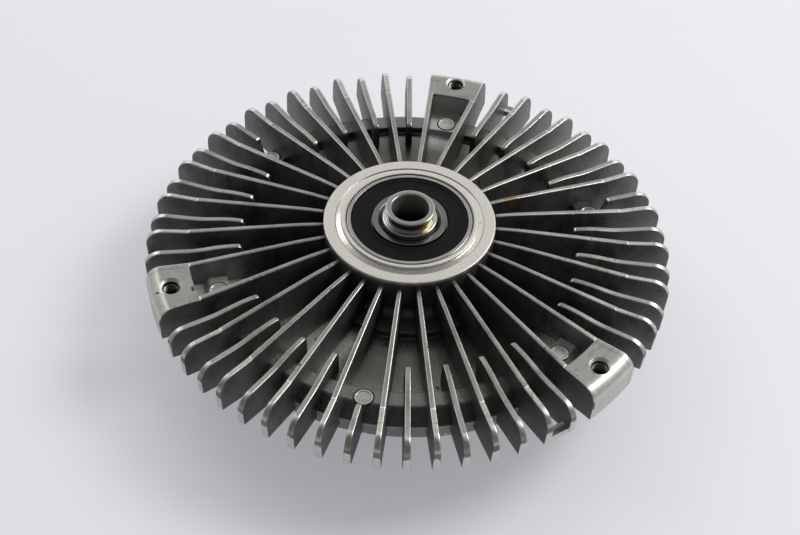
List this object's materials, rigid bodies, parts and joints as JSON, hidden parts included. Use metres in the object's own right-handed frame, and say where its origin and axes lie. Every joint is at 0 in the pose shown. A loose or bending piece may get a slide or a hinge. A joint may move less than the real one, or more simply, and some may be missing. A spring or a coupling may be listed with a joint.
{
  "type": "viscous fan clutch",
  "caption": "Finned round viscous coupling that drives a cooling fan: hollow input shaft in a sealed bearing, labyrinth rotor, finned housing and cover, bimetal valve control.",
  "frame": {"origin": "on the axis, in the plane of the front cover's fin tips that the clutch lies on", "axes": "+Z along the axis towards the engine side, +Y through one of the fan screw bosses, the bimetal strip on the -Y side"},
  "size_m": [0.191, 0.191, 0.0552],
  "materials": {
    "cast_aluminium": "die cast, with bright machined faces and worn fin edges",
    "turned_aluminium": "turned",
    "bearing_steel": "ground",
    "turned_steel": "turned, slightly stained",
    "spring_steel": "hardened strip",
    "cage_sheet": "pressed sheet",
    "plated_sheet": "zinc plated sheet",
    "bimetal": "rolled bimetal strip",
    "black_rubber": "moulded, semi-matt"
  },
  "bodies": {
    "housing_body": {"housing": "cast_aluminium", "front_cover": "cast_aluminium", "cover_o_ring": "black_rubber", "bearing_outer_ring": "bearing_steel", "bearing_rear_seal": "black_rubber", "bearing_front_seal": "black_rubber", "shaft_seal": "black_rubber", "garter_spring": "spring_steel", "partition_plate": "plated_sheet", "plate_rivets": "turned_aluminium", "lever_rivet": "turned_aluminium", "control_pin_seal": "black_rubber", "strip_bracket_left": "plated_sheet", "strip_bracket_right": "plated_sheet", "bracket_rivets": "turned_aluminium"},
    "input_shaft": {"hub_shaft": "turned_steel", "rotor": "turned_aluminium", "rotor_retaining_ring": "spring_steel", "bearing_inner_ring": "bearing_steel"},
    "ball_set": {"bearing_cage": "cage_sheet", "bearing_balls": "bearing_steel"},
    "valve_drive": {"control_pin": "turned_steel", "bimetal_strip": "bimetal"},
    "valve": {"valve_lever": "spring_steel"}
  },
  "joints": [
    {"name": "shaft_spin", "type": "hinge", "parent": "housing_body", "child": "input_shaft", "pos_m": [0, 0, 0.0427], "axis": [0, 0, 1], "continuous": true},
    {"name": "ball_set_roll", "type": "hinge", "parent": "housing_body", "child": "ball_set", "pos_m": [0, 0, 0.0427], "axis": [0, 0, 1], "continuous": true},
    {"name": "control_pin_slide", "type": "slide", "parent": "housing_body", "child": "valve_drive", "axis": [0, 0, -1], "range_m": [0, 0.001], "stiffness_N_per_m": 1500, "springref_m": -0.0005},
    {"name": "valve_lever_lift", "type": "hinge", "parent": "housing_body", "child": "valve", "pos_m": [-0.021, -0.034, 0.0156], "axis": [0, 1, 0], "range_deg": [0, 2.8]}
  ],
  "couplings": [
    {"joint": "ball_set_roll", "follows": "shaft_spin", "ratio": 0.3815},
    {"joint": "valve_lever_lift", "follows": "control_pin_slide", "rad_per_m": 47.619}
  ]
}
